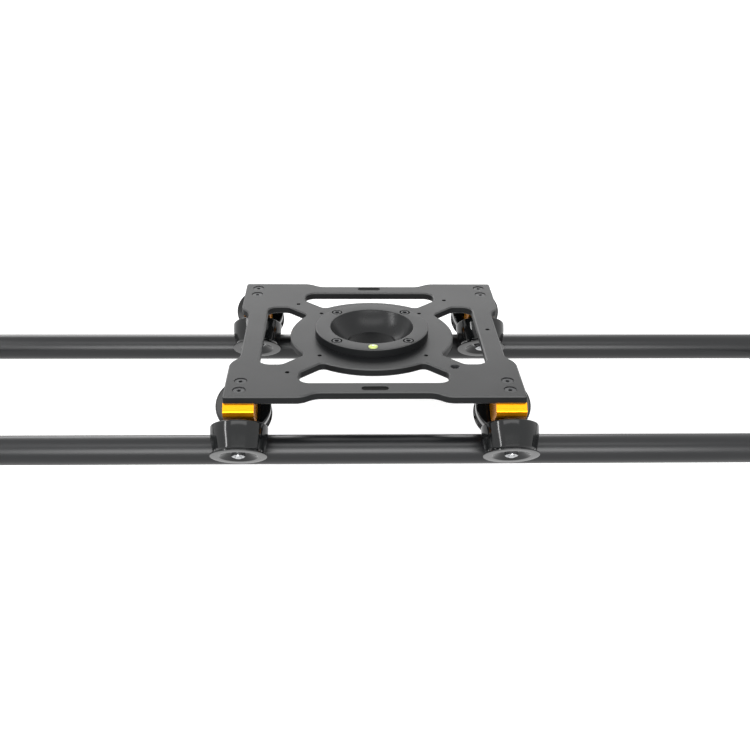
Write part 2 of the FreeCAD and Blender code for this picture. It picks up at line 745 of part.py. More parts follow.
os.makedirs("parts", exist_ok=True)
make_rails()
make_end_caps()
make_saddles()
make_cross_bars()
make_feet()
make_buffers()
make_plate()
make_badges()
make_bush()
make_corner_screws()
make_bowl()
make_level()
make_trucks()
make_axles()
make_wheels()
print_places()
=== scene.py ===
# %% [markdown]
# # A camera slider, dressed over its CAD frame
# The slider is a square carriage plate with a 100 mm bowl. Four gold blocks under its corners hold pairs of
# wheels at 45 degrees, which roll along two black tubes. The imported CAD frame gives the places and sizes.
# This notebook adds finer surfaces where an edge or a curve shows, and a finish for every piece.

# %% Load the frame
import json
import math

import bmesh
import bpy
import numpy as np
from mathutils import Matrix, Vector

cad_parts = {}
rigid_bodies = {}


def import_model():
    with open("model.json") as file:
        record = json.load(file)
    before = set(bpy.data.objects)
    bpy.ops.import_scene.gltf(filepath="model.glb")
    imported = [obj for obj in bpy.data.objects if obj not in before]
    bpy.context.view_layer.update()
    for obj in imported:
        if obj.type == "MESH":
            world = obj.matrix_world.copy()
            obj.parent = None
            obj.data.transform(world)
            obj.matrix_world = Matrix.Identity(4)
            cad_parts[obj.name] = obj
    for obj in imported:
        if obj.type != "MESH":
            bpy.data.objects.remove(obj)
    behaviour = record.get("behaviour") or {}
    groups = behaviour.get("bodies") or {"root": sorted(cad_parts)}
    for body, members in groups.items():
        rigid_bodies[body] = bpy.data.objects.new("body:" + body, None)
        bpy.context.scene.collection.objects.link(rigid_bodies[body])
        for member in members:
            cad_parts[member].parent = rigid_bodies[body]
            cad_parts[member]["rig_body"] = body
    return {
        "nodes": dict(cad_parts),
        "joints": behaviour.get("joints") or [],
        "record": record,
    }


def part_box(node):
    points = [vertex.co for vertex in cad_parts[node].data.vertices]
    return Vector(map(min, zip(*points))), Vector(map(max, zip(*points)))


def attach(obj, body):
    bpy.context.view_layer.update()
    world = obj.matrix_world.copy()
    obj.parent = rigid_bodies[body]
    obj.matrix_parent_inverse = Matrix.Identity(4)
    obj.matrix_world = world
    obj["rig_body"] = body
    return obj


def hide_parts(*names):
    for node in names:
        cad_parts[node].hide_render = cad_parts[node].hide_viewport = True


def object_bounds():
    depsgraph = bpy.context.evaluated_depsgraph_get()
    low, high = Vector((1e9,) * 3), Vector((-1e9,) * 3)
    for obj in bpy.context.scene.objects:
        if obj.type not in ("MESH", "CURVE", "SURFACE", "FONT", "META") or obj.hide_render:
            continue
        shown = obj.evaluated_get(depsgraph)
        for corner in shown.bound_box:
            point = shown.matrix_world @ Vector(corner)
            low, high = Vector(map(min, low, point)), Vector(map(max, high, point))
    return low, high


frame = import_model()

cad_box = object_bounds()
nodes = frame["nodes"]
slot_of = {part["node"]: part["material_slot"] for part in frame["record"]["subparts"]}
mm = 0.001

# %% [markdown]
# ## Camera
# The track is seen from above and from the front, from a place a little left of the carriage's middle. A
# camera turns in three steps: it pans round the upright, tips down, and rolls about its own line of sight.
# Three small rotation matrices, multiplied in that order, say it more plainly than a set of Euler angles.

# %% Camera
pan, dip, roll = math.radians(-2.016), math.radians(26.612), math.radians(0.828)
camera_data = bpy.data.cameras.new("camera")
camera_data.lens = 49.232
camera_data.sensor_width = 36.0
camera_data.clip_end = 50.0
camera = bpy.data.objects.new("camera", camera_data)
camera.location = (-0.0351, -1.1315, 0.6429)
turned_camera = (Matrix.Rotation(pan, 3, "Z") @ Matrix.Rotation(math.pi / 2 - dip, 3, "X")
                 @ Matrix.Rotation(roll, 3, "Z"))
camera.rotation_euler = turned_camera.to_euler()
bpy.context.scene.collection.objects.link(camera)
bpy.context.scene.camera = camera
print("camera at", tuple(round(v, 3) for v in camera.location))

# %% [markdown]
# ## Shapes as arrays
# Most pieces here are turned on a lathe. A turned piece is a profile of radius against height, carried once
# round an axis: a grid of points in two parameters. The corners of a profile are rounded first, because no
# machined edge is perfectly sharp, and it is the rounded edge that catches the light.


# %% Profiles and grids
def soften(points, radius, steps=5, share=0.45):
    """Round each corner P of a closed profile: B(t) = (1-t)^2 A + 2t(1-t) P + t^2 C, where A and C lie on the
    two sides at the given radius from P, but never farther along a side than this share of it."""
    points = np.asarray(points, float)
    back = np.roll(points, 1, axis=0) - points
    ahead = np.roll(points, -1, axis=0) - points
    back_length = np.linalg.norm(back, axis=1)
    ahead_length = np.linalg.norm(ahead, axis=1)
    longest = share * np.minimum(back_length, ahead_length)
    reach = np.minimum(np.broadcast_to(radius, len(points)), longest)
    start = points + back * (reach / back_length)[:, None]
    end = points + ahead * (reach / ahead_length)[:, None]
    t = np.linspace(0, 1, steps)[None, :, None]
    curve = (1 - t) ** 2 * start[:, None] + 2 * t * (1 - t) * points[:, None] + t ** 2 * end[:, None]
    return curve.reshape(-1, points.shape[1])


def grid_faces(rows, columns):
    """Quads of a grid that closes on itself in both directions."""
    i, j = np.meshgrid(np.arange(rows), np.arange(columns), indexing="ij")
    below, beside = (i + 1) % rows, (j + 1) % columns
    return np.stack([i * columns + j, i * columns + beside, below * columns + beside, below * columns + j],
                    axis=-1).reshape(-1, 4)


def lathe(profile, turns):
    """A closed profile of (radius, height, flats) turned round Z: the point at angle t is
    (r cos t, r sin t, z). Where flats is 1 the circle gives way to a hexagon of corner radius r, whose radius
    is r cos(30) / cos(t' - 30), with t' the angle from the last corner, in degrees."""
    radius, height, flats = profile[:, 0, None], profile[:, 1, None], profile[:, 2, None]
    t = np.arange(turns)[None, :] * 2 * np.pi / turns
    side = np.cos(np.pi / 6) / np.cos(t % (np.pi / 3) - np.pi / 6)
    radius = radius * (1 + flats * (side - 1))
    points = np.stack([radius * np.cos(t), radius * np.sin(t), height + 0 * t], axis=-1)
    return points.reshape(-1, 3), grid_faces(len(profile), turns)


def turned(rows, turns=96):
    """A lathe shell from rows of radius, height, corner rounding and, for a hexagon, 1. All are in mm."""
    rows = np.array([(*row, 0, 0)[:4] for row in rows], float)
    return lathe(soften(rows[:, [0, 1, 3]] * (mm, mm, 1), rows[:, 2] * mm), turns)


def placed(shell, matrix):
    """The shell's points multiplied by a 4 by 4 matrix."""
    points, faces = shell
    matrix = np.asarray(matrix)
    return points @ matrix[:3, :3].T + matrix[:3, 3], faces


def joined(shells):
    """Several shells as one, with each one's faces counting on from the last one's points."""
    starts = np.cumsum([0] + [len(points) for points, _ in shells[:-1]])
    return (np.concatenate([points for points, _ in shells]),
            np.concatenate([faces + start for (_, faces), start in zip(shells, starts)]))


def axes_at(origin, along=(0, 0, 1), beside=(1, 0, 0)):
    """A frame at origin whose Z runs along one direction and whose X keeps close to another."""
    z = np.asarray(along, float) / np.linalg.norm(along)
    x = np.asarray(beside, float) - np.dot(beside, z) * z
    x /= np.linalg.norm(x)
    matrix = np.eye(4)
    matrix[:3] = np.column_stack([x, np.cross(z, x), z, origin])
    return matrix


# %% [markdown]
# ## From arrays to pieces
# `make_piece` writes the arrays into a mesh in one call each, welds the poles and seams, turns the faces
# outwards and marks the edges sharper than 30 degrees, so that flats stay flat and curves stay smooth. A
# piece takes its finish and its body from the CAD node that it stands for.

# %% Making pieces
finishes = {}
made = []
weld, sharp_angle = 1e-7, math.radians(30)


def dress(obj, node, slot=None, extra=False):
    """Give a piece its finish and body, and let it replace its CAD node unless it is an extra."""
    slot = slot or slot_of[node]
    obj.data.materials.clear()
    obj.data.materials.append(finishes[slot])
    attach(obj, nodes[node]["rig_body"])
    if not extra:
        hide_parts(node)
    made.append(obj)
    return obj


def clean(mesh):
    """Weld doubled points, turn the faces outwards and keep steep edges sharp."""
    work = bmesh.new()
    work.from_mesh(mesh)
    bmesh.ops.remove_doubles(work, verts=work.verts, dist=weld)
    bmesh.ops.dissolve_degenerate(work, edges=work.edges, dist=weld / 10)
    bmesh.ops.recalc_face_normals(work, faces=work.faces)
    work.to_mesh(mesh)
    work.free()
    mesh.shade_smooth()
    mesh.set_sharp_from_angle(angle=sharp_angle)
    return mesh


def mesh_object(name, shell):
    """A cleaned mesh object from arrays of points and quads."""
    points, faces = shell
    mesh = bpy.data.meshes.new(name)
    mesh.vertices.add(len(points))
    mesh.vertices.foreach_set("co", np.asarray(points, np.float32).ravel())
    mesh.loops.add(faces.size)
    mesh.loops.foreach_set("vertex_index", faces.ravel().astype(np.int32))
    mesh.polygons.add(len(faces))
    mesh.polygons.foreach_set("loop_start", np.arange(0, faces.size, 4, dtype=np.int32))
    mesh.update(calc_edges=True)
    obj = bpy.data.objects.new(name, clean(mesh))
    bpy.context.scene.collection.objects.link(obj)
    return obj


def make_piece(name, shell, node, slot=None, extra=False):
    """A piece from arrays, dressed as the node that it stands for."""
    return dress(mesh_object(name, shell), node, slot, extra)


# %% [markdown]
# Milled parts are easier from the CAD side: a copy of the node's mesh is welded, its flat triangles are
# merged, and a Bevel modifier eases every edge, as a file or a tumbler does. A Weighted Normal modifier
# then lets the large faces decide the shading, so that the flats stay flat and only the eased edges catch
# light.


# %% Easing a CAD shape
def eased(name, node, width, cad_weld=1e-6, flat=0.5, steepest_smooth=20):
    """The CAD node's shape with its edges eased by this width. Faces within 'flat' degrees of each other are
    merged, and edges below 'steepest_smooth' degrees belong to a curve and stay."""
    mesh = nodes[node].data.copy()
    mesh.name = name
    work = bmesh.new()
    work.from_mesh(mesh)
    bmesh.ops.remove_doubles(work, verts=work.verts, dist=cad_weld)
    bmesh.ops.dissolve_limit(work, angle_limit=math.radians(flat), verts=work.verts, edges=work.edges)
    work.to_mesh(mesh)
    work.free()
    mesh.shade_smooth()
    obj = bpy.data.objects.new(name, mesh)
    bpy.context.scene.collection.objects.link(obj)
    bevel = obj.modifiers.new("eased_edges", "BEVEL")
    bevel.width = width
    bevel.segments = 2
    bevel.limit_method = "ANGLE"
    bevel.angle_limit = math.radians(steepest_smooth)
    flats = obj.modifiers.new("flat_faces_stay_flat", "WEIGHTED_NORMAL")
    flats.weight = 100
    return dress(obj, node)


# %% [markdown]
# ## Colours and nodes
# Colours are written as sRGB hex values, the way a paint chart gives them, and one function turns them to
# the linear values that shaders work with. Another adds a shader node with its settings and its links, so
# that each finish below reads as a short list of nodes.


# %% Colour and node helpers
def linear(hex_colour):
    """sRGB to linear: c / 12.92 below 0.04045, otherwise ((c + 0.055) / 1.055) to the power 2.4."""
    value = np.array([int(hex_colour[i:i + 2], 16) for i in (1, 3, 5)]) / 255
    value = np.where(value <= 0.04045, value / 12.92, ((value + 0.055) / 1.055) ** 2.4)
    return (*value.tolist(), 1.0)


def add(tree, kind, settings=None, links=None, feeds=(), output=0):
    """A node of this kind, handed back as one of its outputs. Settings name its sockets or its own
    properties, links name what feeds a socket, and feeds are the sockets that the output goes to."""
    node = tree.nodes.new(kind)
    for name, value in (settings or {}).items():
        if isinstance(name, int) or name in node.inputs:
            node.inputs[name].default_value = value
        else:
            setattr(node, name, value)
    for name, source in (links or {}).items():
        tree.links.new(source, node.inputs[name])
    for socket in feeds:
        tree.links.new(node.outputs[output], socket)
    return node.outputs[output] if node.outputs else None


def start_finish(slot, name, colour, **surface):
    """A named material with one Principled shader: its tree, the shader's sockets and Object coordinates."""
    material = bpy.data.materials.new(name)
    material.use_nodes = True
    tree = material.node_tree
    tree.nodes.clear()
    settings = {socket.replace("_", " "): value for socket, value in surface.items()}
    shader = add(tree, "ShaderNodeBsdfPrincipled", {"Base Color": linear(colour), **settings})
    add(tree, "ShaderNodeOutputMaterial", links={"Surface": shader})
    finishes[slot] = material
    print("finish", name)
    return tree, shader.node.inputs, add(tree, "ShaderNodeTexCoord", output="Object")


# %% [markdown]
# ## Black anodised aluminium
# The plate, the bowl and the brackets are milled from aluminium, blasted with glass beads, and anodised: an
# oxide layer filled with black dye, which reflects like a dull dielectric and not like a bare metal. An
# image texture could paint that grit; here noise does, because it has no seams and needs no image. The real
# grit is about 0.1 mm, too fine to show on the whole slider, so it is drawn at 0.6 mm and faint. A second,
# broad noise varies the dye and the sheen a little, as no bath dyes a whole plate evenly.

# %% Bead-blasted black anodised aluminium
tree, sockets, place = start_finish("plate_black_anodised", "bead_blasted_black_anodised", "#171819",
                                    Roughness=0.4)
grit = add(tree, "ShaderNodeTexNoise", {"Scale": 1 / (0.6 * mm), "Detail": 1.0}, {"Vector": place})
cloud = add(tree, "ShaderNodeTexNoise", {"Scale": 1 / (60 * mm), "Detail": 3.0}, {"Vector": place})
add(tree, "ShaderNodeMixRGB", {"Color1": linear("#151617"), "Color2": linear("#1A1B1C")}, {"Fac": cloud},
    [sockets["Base Color"]])
dull = add(tree, "ShaderNodeMapRange", {"To Min": 0.39, "To Max": 0.46}, {"Value": cloud})

# %% [markdown]
# The bowl shares the plate's finish, but its seat is turned, which leaves rings at a 0.5 mm feed, drawn at
# 1 mm: a sine of the distance from the upright axis. The seat lies within 50 mm of that axis, where nothing
# of the plate is, so the rings are drawn there alone. A cutter leaves a smoother face than blasting does,
# so the seat is also less rough.

# %% Turning marks in the seat
mouth_radius, feed, blur = 50 * mm, 1.0 * mm, 0.2 * mm
flattened = add(tree, "ShaderNodeVectorMath", {"operation": "MULTIPLY", 1: (1, 1, 0)}, {0: place})
from_axis = add(tree, "ShaderNodeVectorMath", {"operation": "LENGTH"}, {0: flattened}, output="Value")
in_seat = add(tree, "ShaderNodeMapRange", {"From Min": mouth_radius + blur, "From Max": mouth_radius - blur},
              {"Value": from_axis})
phase = add(tree, "ShaderNodeMath", {"operation": "MULTIPLY", 1: 2 * math.pi / feed}, {0: from_axis})
turning = add(tree, "ShaderNodeMath", {"operation": "SINE"}, {0: phase})
marks = add(tree, "ShaderNodeMath", {"operation": "MULTIPLY"}, {0: turning, 1: in_seat})
surface = add(tree, "ShaderNodeMath", {"operation": "MULTIPLY_ADD", 1: 0.25}, {0: marks, 2: grit})
add(tree, "ShaderNodeBump", {"Distance": 0.01 * mm}, {"Height": surface}, [sockets["Normal"]])
add(tree, "ShaderNodeMath", {"operation": "MULTIPLY_ADD", 1: -0.15}, {0: in_seat, 2: dull},
    [sockets["Roughness"]])

# %% [markdown]
# The pits of a blasted face shade each other, so its highlight is weaker than a smooth film's: the specular
# level is about a third of the usual one, and faces seen square on stay dark while those seen at a slant
# turn pale. The chamfers are cut after the blasting, so their film is smooth and bright. They are the faces
# that lean at 45 degrees, where the normal's height is near 0.707. The pockets in the bowl's flange and the
# countersinks round the truck screws lean too, but stay blasted, so a circle and four boxes leave them out.

# %% Bright chamfers
flange_reach = 66.5 * mm
screw_reach_x, screw_reach_y = 8.5 * mm, 20 * mm
up = add(tree, "ShaderNodeSeparateXYZ", links={0: place.node.outputs["Normal"]}, output="Z")
height = add(tree, "ShaderNodeMath", {"operation": "ABSOLUTE"}, {0: up})
leaning = add(tree, "ShaderNodeMath", {"operation": "COMPARE", 1: 0.707, 2: 0.2}, {0: height})
block_low, block_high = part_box("back_right_truck")
block = (block_low + block_high) / 2
where = add(tree, "ShaderNodeSeparateXYZ", links={0: place}).node.outputs
along = add(tree, "ShaderNodeMath", {"operation": "ABSOLUTE"}, {0: where["X"]})
across = add(tree, "ShaderNodeMath", {"operation": "ABSOLUTE"}, {0: where["Y"]})
in_row = add(tree, "ShaderNodeMath", {"operation": "COMPARE", 1: block.x, 2: screw_reach_x}, {0: along})
in_column = add(tree, "ShaderNodeMath", {"operation": "COMPARE", 1: block.y, 2: screw_reach_y}, {0: across})
screw_seats = add(tree, "ShaderNodeMath", {"operation": "MULTIPLY"}, {0: in_row, 1: in_column})
in_flange = add(tree, "ShaderNodeMath", {"operation": "LESS_THAN", 1: flange_reach}, {0: from_axis})
blasted = add(tree, "ShaderNodeMath", {"operation": "MAXIMUM"}, {0: in_flange, 1: screw_seats})
cut_edge = add(tree, "ShaderNodeMath", {"operation": "SUBTRACT", "use_clamp": True},
               {0: leaning, 1: blasted})
polish = add(tree, "ShaderNodeMath", {"operation": "MULTIPLY_ADD", 1: 0.22}, {0: in_seat, 2: cut_edge})
add(tree, "ShaderNodeMapRange", {"To Min": 0.18, "To Max": 1.0}, {"Value": polish},
    [sockets["Specular IOR Level"]])

# %% [markdown]
# The brackets are milled and blasted too, but dyed a little paler, and their highlight is a little stronger.

# %% Fine-blasted brackets
tree, sockets, place = start_finish("bracket_black_anodised", "fine_blasted_black_anodised", "#1C1C1E",
                                    Roughness=0.42, Specular_IOR_Level=0.3)
grit = add(tree, "ShaderNodeTexNoise", {"Scale": 1 / (0.6 * mm), "Detail": 1.0}, {"Vector": place})
cloud = add(tree, "ShaderNodeTexNoise", {"Scale": 1 / (25 * mm), "Detail": 2.0}, {"Vector": place})
add(tree, "ShaderNodeBump", {"Distance": 0.01 * mm}, {"Height": grit}, [sockets["Normal"]])
add(tree, "ShaderNodeMapRange", {"To Min": 0.36, "To Max": 0.48}, {"Value": cloud}, [sockets["Roughness"]])

# %% [markdown]
# ## Drawn tube
# The rails are pipe, drawn through a die and then anodised. Drawing leaves hair-fine lines along the
# length, and handling leaves broad, cloudy changes of sheen. Both are noise: the first is stretched 400
# times along X. The sealed oxide is a clear film of index 1.52, so the lamps draw soft bands along the
# tube.

# %% Drawn and anodised tube
tree, sockets, place = start_finish("rail_black_anodised", "drawn_black_anodised_tube", "#151618",
                                    Roughness=0.31, IOR=1.52)
along_x = add(tree, "ShaderNodeMapping", {"Scale": (1 / 400, 1, 1)}, {"Vector": place})
drawn = add(tree, "ShaderNodeTexNoise", {"Scale": 1 / (0.8 * mm), "Detail": 2.0}, {"Vector": along_x})
cloud_place = add(tree, "ShaderNodeMapping", {"Scale": (1 / 3, 1, 1)}, {"Vector": place})
handled = add(tree, "ShaderNodeTexNoise", {"Scale": 1 / (30 * mm), "Detail": 4.0}, {"Vector": cloud_place})
add(tree, "ShaderNodeMixRGB", {"Color1": linear("#131416"), "Color2": linear("#18191B")}, {"Fac": handled},
    [sockets["Base Color"]])
add(tree, "ShaderNodeMapRange", {"To Min": 0.26, "To Max": 0.36}, {"Value": handled}, [sockets["Roughness"]])
add(tree, "ShaderNodeBump", {"Distance": 0.006 * mm}, {"Height": drawn}, [sockets["Normal"]])

# %% [markdown]
# ## Gold anodised blocks
# Here the dye is orange-gold and thin, and most of the metal shines through it: a shader about three
# quarters metallic, so that what it reflects takes the colour of the dye. The blocks are sawn from extruded
# bar, which leaves faint lines along X.

# %% Gold anodised aluminium
tree, sockets, place = start_finish("truck_gold_anodised", "gold_anodised_aluminium", "#F59C06",
                                    Metallic=0.78, Roughness=0.27)
along_x = add(tree, "ShaderNodeMapping", {"Scale": (1 / 60, 1, 1)}, {"Vector": place})
sawn = add(tree, "ShaderNodeTexNoise", {"Scale": 1 / (0.35 * mm), "Detail": 2.0}, {"Vector": along_x})
add(tree, "ShaderNodeMixRGB", {"Color1": linear("#F29602"), "Color2": linear("#FCA808")}, {"Fac": sawn},
    [sockets["Base Color"]])
add(tree, "ShaderNodeMapRange", {"To Min": 0.22, "To Max": 0.32}, {"Value": sawn}, [sockets["Roughness"]])
add(tree, "ShaderNodeBump", {"Distance": 0.004 * mm}, {"Height": sawn}, [sockets["Normal"]])

# %% [markdown]
# ## Cast polyurethane
# The wheels are cast in polished moulds, so they shine like glass, with slow ripples from shrinkage that vary
# the shine and break up the highlights.

# %% Cast polyurethane
tree, sockets, place = start_finish("wheel_polyurethane", "cast_black_polyurethane", "#0D0F10",
                                    Roughness=0.1)
flow = add(tree, "ShaderNodeTexNoise", {"Scale": 1 / (14 * mm), "Detail": 2.0}, {"Vector": place})
add(tree, "ShaderNodeMapRange", {"To Min": 0.06, "To Max": 0.16}, {"Value": flow}, [sockets["Roughness"]])
add(tree, "ShaderNodeBump", {"Distance": 0.03 * mm}, {"Height": flow}, [sockets["Normal"]])

# %% [markdown]
# ## Steels, rubber and plastics
# The small parts differ from each other in colour, shine and the size of their grain, and in nothing else.
# So one table holds those values, and a loop builds a finish from each line: a noise of that grain drives
# the roughness and a little bump. Oxide, rubber and moulded plastic have a broken surface, so their
# highlight is nearly as weak as the blasted plate's, and the rubbed acrylic has hardly any.

# %% Steels, rubber and plastics
small_finishes = [
    # slot, name, colour, metallic, highlight, lowest and highest roughness, grain in mm, bump in mm
    ("black_oxide_steel", "black_oxide_steel", "#2C2D2F", 0.0, 0.22, 0.36, 0.48, 0.5, 0.006),
    ("bright_steel", "zinc_plated_steel", "#C4C5C7", 1.0, 0.5, 0.18, 0.3, 1.5, 0.004),
    ("bearing_steel", "ground_bearing_steel", "#B4B5B7", 1.0, 0.5, 0.14, 0.22, 0.4, 0.002),
    ("standoff_aluminium", "turned_black_anodised", "#2A2A2C", 0.3, 0.5, 0.3, 0.38, 0.5, 0.004),
    ("foot_rubber", "moulded_rubber", "#18181A", 0.0, 0.22, 0.7, 0.86, 0.7, 0.02),
    ("black_plastic", "moulded_polyethylene", "#1B1B1C", 0.0, 0.22, 0.44, 0.58, 0.6, 0.015),
    ("badge_black", "rubbed_black_acrylic", "#050505", 0.0, 0.03, 0.5, 0.6, 8.0, 0.004),
    ("level_frame", "moulded_clear_abs", "#C9D68A", 0.0, 0.5, 0.3, 0.45, 0.4, 0.006)]
for slot, name, colour, metallic, highlight, smooth, rough, grain, depth in small_finishes:
    tree, sockets, place = start_finish(slot, name, colour, Metallic=metallic, Specular_IOR_Level=highlight)
    pattern = add(tree, "ShaderNodeTexNoise", {"Scale": 1 / (grain * mm), "Detail": 3.0}, {"Vector": place})
    add(tree, "ShaderNodeMapRange", {"To Min": smooth, "To Max": rough}, {"Value": pattern},
        [sockets["Roughness"]])
    add(tree, "ShaderNodeBump", {"Distance": depth * mm}, {"Height": pattern}, [sockets["Normal"]])

# %% [markdown]
# The bubble level is a glass vial with a yellow-green spirit. Its bubble and the ring round it are drawn
# from the distance to the vial's middle, because they are only a few millimetres across.

# %% Level fluid
vial_low, vial_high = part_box("level_vial")
vial_middle = (vial_low + vial_high) / 2
vial_reach = 5 * mm
bubble, fluid, ink = "#F6FBE4", "#D9E983", "#3C4220"
tree, sockets, place = start_finish("level_fluid", "spirit_level_vial", "#DDEB8F", Roughness=0.06)
offset = add(tree, "ShaderNodeVectorMath",
             {"operation": "DISTANCE", 1: (vial_middle.x, vial_middle.y, vial_high.z)}, {0: place},
             output="Value")
share = add(tree, "ShaderNodeMath", {"operation": "DIVIDE", 1: vial_reach}, {0: offset})
rings = add(tree, "ShaderNodeValToRGB", links={"Fac": share}, feeds=[sockets["Base Color"]])
stops = rings.node.color_ramp.elements
stops[0].position, stops[0].color = 0.26, linear(bubble)
stops[1].position, stops[1].color = 0.34, linear(fluid)
for position, colour in ((0.42, fluid), (0.44, ink), (0.48, ink), (0.5, fluid)):
    stops.new(position).color = linear(colour)
print("finishes", sorted(finishes))

# %% [markdown]
# Every CAD node gets the finish of its slot first. Those that only show their plain shape stay as they are,
# and the others are replaced below.

# %% Finish the CAD nodes
for name, slot in slot_of.items():
    nodes[name].data.materials.clear()
    nodes[name].data.materials.append(finishes[slot])
print("CAD nodes with a finish", len(slot_of))

# %% [markdown]
# ## The track
# The rails are plain pipe with a burr-free end, so each is one turned shell whose section is a thin
# rectangle. The plugs in their ends have a slightly domed face.


# %% Rails and their plugs
def on_rail(x, middle, outward=1):
    """A frame on a rail's middle line at x, whose Z runs along the rail."""
    return axes_at((x, middle.y, middle.z), (outward, 0, 0), (0, 0, 1))


rail_low, rail_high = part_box("front_rail")
rail_radius = (rail_high.z - rail_low.z) / 2 / mm
rail_length = (rail_high.x - rail_low.x) / mm
rail_wall = 2.8
rail_bore = rail_radius - rail_wall
plug_radius, plug_depth = 13.8, 12
pipe = turned([(rail_radius, 0, 0.5), (rail_radius, rail_length, 0.5), (rail_bore, rail_length, 0.4),
               (rail_bore, 0, 0.4)], 128)
plug = turned([(0, -plug_depth), (plug_radius, -plug_depth, 0.8), (plug_radius, 0), (rail_radius, 0, 0.2),
               (rail_radius, 2.2, 1.4), (9, 3, 4), (0, 3)])
for side in ("front", "back"):
    low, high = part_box(side + "_rail")
    middle = (low + high) / 2
    make_piece(side + "_rail_pipe", placed(pipe, on_rail(low.x, middle)), side + "_rail")
plugs = []
for side in ("front", "back"):
    low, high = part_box(side + "_rail")
    middle = (low + high) / 2
    for x, outward in ((low.x, -1), (high.x, 1)):
        plugs.append(placed(plug, on_rail(x, middle, outward)))
make_piece("rail_end_plugs", joined(plugs), "rail_end_caps")
print("rail radius", round(rail_radius, 2), "length", round(rail_length, 1))

# %% [markdown]
# The rubber parts are turned too. A groove is four rows that step in and out again, so one function gives
# them, and a loop puts three grooves in a sleeve. The foot's two grooves are written out in its own rows,
# because the foot gets narrower on its way up.


# %% Buffers and feet
def groove(radius, start, depth, width=1.6):
    """Rows of a rounded groove in a turned side, going up."""
    return [(radius, start, 0.4), (radius - depth, start + 0.3, 0.5),
            (radius - depth, start + width - 0.3, 0.5), (radius, start + width, 0.4)]


buffer_radius, buffer_length, bevel = 22, 30, 5
sleeve_bore, sleeve_mouth = rail_radius + 0.05, rail_radius + 0.8
buffer_rows = [(sleeve_bore, 0, 0.2), (sleeve_mouth, 0, 0.3), (buffer_radius, bevel, 1.6)]
for start in (7, 14.2, 21.4):
    buffer_rows += groove(buffer_radius, start, 1.2)
buffer_rows += [(buffer_radius, buffer_length - bevel, 1.6), (sleeve_mouth, buffer_length, 0.3),
                (sleeve_bore, buffer_length, 0.2)]
foot_rows = [(3.3, 8), (6.5, 8, 0.3), (6.5, 0, 0.8), (16.5, 0, 0.6), (18, 1.5, 0.8), (17.3, 4, 0.3),
             (16.2, 4.5, 0.3), (15.9, 5.9, 0.3), (16.5, 6.6, 0.3), (15.9, 9, 0.3), (14.9, 9.5, 0.3),
             (14.6, 10.9, 0.3), (15.2, 11.5, 0.3), (14, 16, 0.6), (3.3, 16)]
sleeve, foot = turned(buffer_rows), turned(foot_rows)
for end in ("left", "right"):
    for side in ("front", "back"):
        low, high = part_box(f"{end}_{side}_buffer")
        middle = (low + high) / 2
        make_piece(f"{end}_{side}_rubber_stop", placed(sleeve, on_rail(low.x, middle)),
                   f"{end}_{side}_buffer")
        low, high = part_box(f"{end}_{side}_foot")
        middle = (low + high) / 2
        make_piece(f"{end}_{side}_rubber_foot", placed(foot, axes_at((middle.x, middle.y, low.z))),
                   f"{end}_{side}_foot")
print("sleeve rows", len(buffer_rows), "foot rows", len(foot_rows))

# %% [markdown]
# ## Milled brackets
# The saddles, clamp caps and cross bars are milled blocks. Their CAD shape is right, and only their edges
# are too sharp, so each is an eased copy.

# %% Brackets
for end in ("left", "right"):
    eased(end + "_crossbar_milled", end + "_cross_bar", 0.6 * mm)
    for side in ("front", "back"):
        eased(f"{end}_{side}_saddle_milled", f"{end}_{side}_saddle", 0.4 * mm)
        eased(f"{end}_{side}_cap_milled", f"{end}_{side}_clamp_cap", 0.4 * mm)
print("pieces so far", len(made))

# %% [markdown]
# ## Socket screws
# A cap screw is a turned piece with one hexagonal stretch: the profile starts on the axis at the socket's
# floor, climbs the socket's six-sided wall, and opens to a round lead-in at the top of the head.


# %% Socket screws
head_height, head_radius, shank_radius = 6, 5, 3
cap_socket, countersunk_socket = 2.887, 2.309


def cap_screw(length):
    """M6 socket cap screw with the seat of its head at Z = 0, pointing down."""
    return turned([(0, 3), (cap_socket, 3, 0, 1), (cap_socket, head_height - 0.3, 0, 1),
                   (3.25, head_height, 0.1), (head_radius, head_height, 0.5), (head_radius, 0, 0.15),
                   (shank_radius, 0), (shank_radius, -length, 0.5), (0, -length)], 48)


def countersunk_screw(length):
    """M6 countersunk screw with the top of its head at Z = 0, pointing down."""
    return turned([(0, -2.4), (countersunk_socket, -2.4, 0, 1), (countersunk_socket, -0.25, 0, 1),
                   (2.6, 0, 0.05), (6.45, 0, 0.2), (shank_radius, -3.45), (shank_radius, -length, 0.5),
                   (0, -length)], 48)


screw_low, screw_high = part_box("clamp_screws")
foot_low, foot_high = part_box("foot_screws")
clamp_screw = cap_screw((screw_high.z - screw_low.z) / mm - head_height)
foot_screw = cap_screw((foot_high.z - foot_low.z) / mm - head_height)
ear_inset = 6.5 * mm
clamp_screws = []
foot_screws = []
for end in ("left", "right"):
    for side in ("front", "back"):
        low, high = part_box(f"{end}_{side}_saddle")
        middle = (low + high) / 2
        for y in (low.y + ear_inset, high.y - ear_inset):
            seat = axes_at((middle.x, y, screw_high.z - head_height * mm))
            clamp_screws.append(placed(clamp_screw, seat))
        seat = axes_at((middle.x, middle.y, foot_low.z + head_height * mm), (0, 0, -1))
        foot_screws.append(placed(foot_screw, seat))
make_piece("clamp_cap_screws", joined(clamp_screws), "clamp_screws")
make_piece("foot_cap_screws", joined(foot_screws), "foot_screws")
print("clamp screws", len(clamp_screws), "foot screws", len(foot_screws))

# %% [markdown]
# ## The carriage plate
# The plate is milled from thick sheet, with four windows and a broad chamfer. An eased copy rounds the
# edges of that chamfer. Its small parts are turned: countersunk screws into the blocks below, and a
# threaded bush.

